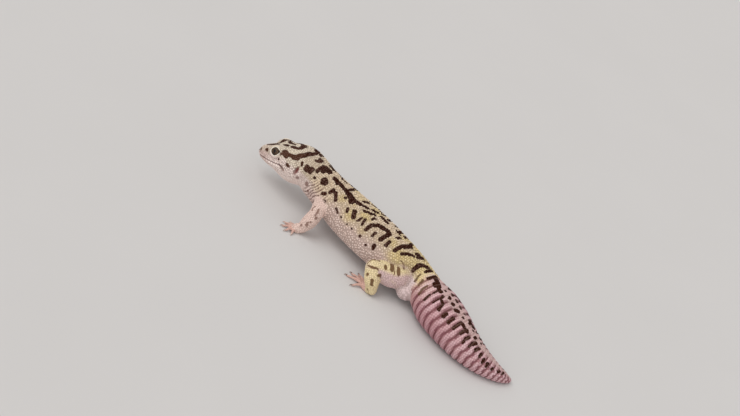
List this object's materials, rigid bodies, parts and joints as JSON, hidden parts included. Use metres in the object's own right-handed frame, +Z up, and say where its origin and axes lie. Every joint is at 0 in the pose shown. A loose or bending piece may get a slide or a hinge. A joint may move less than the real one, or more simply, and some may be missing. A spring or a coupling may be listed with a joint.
{
  "type": "leopard gecko",
  "caption": "Life-size leopard gecko standing on a level floor, head raised and turned a little, plump ringed tail curved to one side",
  "frame": {"origin": "on the floor, under the middle of the animal's box", "axes": "+X runs from the head to the tail, -Y is the gecko's left side, +Z is up"},
  "size_m": [0.1782, 0.0596, 0.0298],
  "materials": {
    "skin": "matte",
    "tail_skin": "satin",
    "leg_skin": "matte",
    "eyeball": "gloss",
    "horn": "satin"
  },
  "bodies": {
    "root": {"eye_left": "eyeball", "eye_right": "eyeball", "head": "skin", "jaw": "skin", "neck": "skin", "trunk_front": "skin", "trunk_rear": "skin", "tail_base": "tail_skin", "tail_thick": "tail_skin", "tail_slim": "tail_skin", "tail_tip": "tail_skin", "upper_arm_front_left": "leg_skin", "forearm_front_left": "leg_skin", "claw_front_left_1": "horn", "claw_front_left_2": "horn", "claw_front_left_3": "horn", "claw_front_left_4": "horn", "claw_front_left_5": "horn", "hand_front_left": "leg_skin", "upper_arm_front_right": "leg_skin", "forearm_front_right": "leg_skin", "claw_front_right_1": "horn", "claw_front_right_2": "horn", "claw_front_right_3": "horn", "claw_front_right_4": "horn", "claw_front_right_5": "horn", "hand_front_right": "leg_skin", "thigh_rear_left": "leg_skin", "shank_rear_left": "leg_skin", "claw_rear_left_1": "horn", "claw_rear_left_2": "horn", "claw_rear_left_3": "horn", "claw_rear_left_4": "horn", "claw_rear_left_5": "horn", "foot_rear_left": "leg_skin", "thigh_rear_right": "leg_skin", "shank_rear_right": "leg_skin", "claw_rear_right_1": "horn", "claw_rear_right_2": "horn", "claw_rear_right_3": "horn", "claw_rear_right_4": "horn", "claw_rear_right_5": "horn", "foot_rear_right": "leg_skin"}
  },
  "joints": []
}
